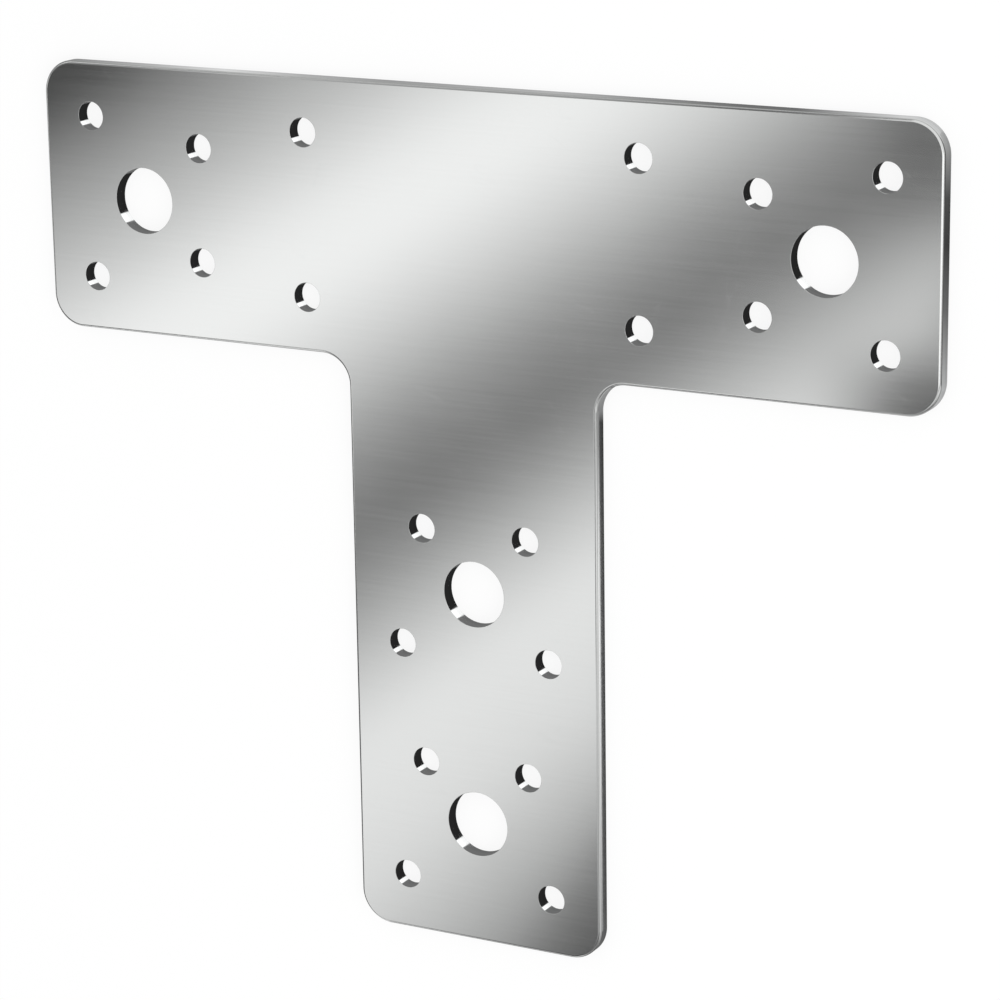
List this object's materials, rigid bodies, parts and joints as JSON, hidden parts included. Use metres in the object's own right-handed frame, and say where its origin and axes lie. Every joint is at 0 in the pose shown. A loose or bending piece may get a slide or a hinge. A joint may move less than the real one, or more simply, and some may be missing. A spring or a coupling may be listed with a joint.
{
  "type": "t-shaped steel connector",
  "caption": "Flat T-shaped steel plate that joins two timbers, pierced with bolt holes on its centre lines and pairs of nail holes beside them.",
  "frame": {"origin": "where the centre lines of the cross bar and the stem meet, on the back face that lies on the timber", "axes": "+X along the cross bar, -Y down the stem, +Z out of the front face"},
  "size_m": [0.16, 0.1425, 0.0025],
  "materials": {
    "bright_steel": "smooth bright rolled steel sheet, satin gloss"
  },
  "bodies": {
    "root": {"connector_plate": "bright_steel"}
  },
  "joints": []
}
